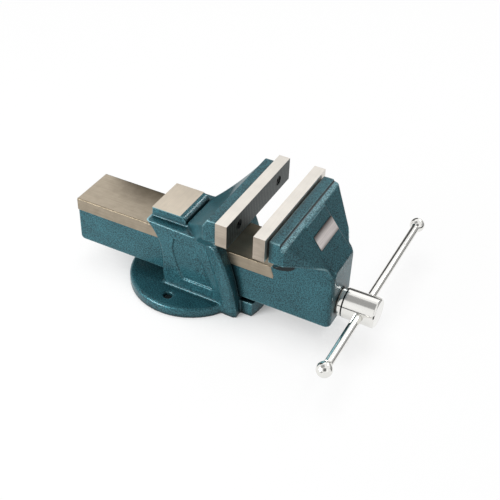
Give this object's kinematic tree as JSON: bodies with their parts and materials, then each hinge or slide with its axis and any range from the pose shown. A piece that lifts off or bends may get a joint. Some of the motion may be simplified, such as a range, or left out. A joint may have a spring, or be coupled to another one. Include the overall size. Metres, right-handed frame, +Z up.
{
  "type": "bench vise",
  "caption": "Bench vise with a fixed base, an anvil, serrated steel jaw plates, a hollow sliding bar and a screw turned by a sliding tommy bar.",
  "frame": {"origin": "underside of the base, midway between the two bench bolt holes", "axes": "+X along the sliding bar from the static jaw towards the handle; +Z up, away from the bench; Y across the jaws"},
  "size_m": [0.312, 0.25, 0.129],
  "materials": {
    "hammertone_paint": "teal hammertone enamel on cast iron, with the anvil, the bar's top and its side bands ground bare",
    "ground_steel": "surface ground hardened steel, gripping faces serrated",
    "bright_steel": "turned steel, bright",
    "plated_steel": "bright plated and polished",
    "black_screws": "blackened steel",
    "nut_iron": "bare cast iron, oiled",
    "spring_steel": "oiled spring steel",
    "plate_aluminium": "satin, bare"
  },
  "bodies": {
    "base": {"static_body": "hammertone_paint", "static_jaw_plate": "ground_steel", "static_jaw_screws": "black_screws", "spindle_nut": "nut_iron", "nut_locating_pins": "bright_steel", "nut_washer": "bright_steel", "nut_bolt": "bright_steel"},
    "jaw": {"moving_jaw": "hammertone_paint", "moving_jaw_plate": "ground_steel", "moving_jaw_screws": "black_screws", "nameplate": "plate_aluminium"},
    "spindle": {"spindle_screw": "bright_steel", "spindle_head": "plated_steel", "head_pin": "bright_steel", "thrust_washer": "bright_steel", "inner_spring_washer": "bright_steel", "takeup_spring": "spring_steel", "outer_spring_washer": "bright_steel", "retaining_pin": "bright_steel"},
    "handle": {"handle_bar": "plated_steel", "handle_ball_near": "plated_steel", "handle_ball_far": "plated_steel"}
  },
  "joints": [
    {"name": "jaw_slide", "type": "slide", "parent": "base", "child": "jaw", "axis": [1, 0, 0], "range_m": [-0.0254, 0.0995]},
    {"name": "spindle_turn", "type": "hinge", "parent": "jaw", "child": "spindle", "pos_m": [0.18, 0, 0.037], "axis": [1, 0, 0], "range_deg": [-1830, 7200]},
    {"name": "handle_slide", "type": "slide", "parent": "spindle", "child": "handle", "axis": [0, 1, 0], "range_m": [-0.124, 0.066]}
  ],
  "couplings": [
    {"joint": "spindle_turn", "follows": "jaw_slide", "rad_per_m": 1256.6}
  ]
}
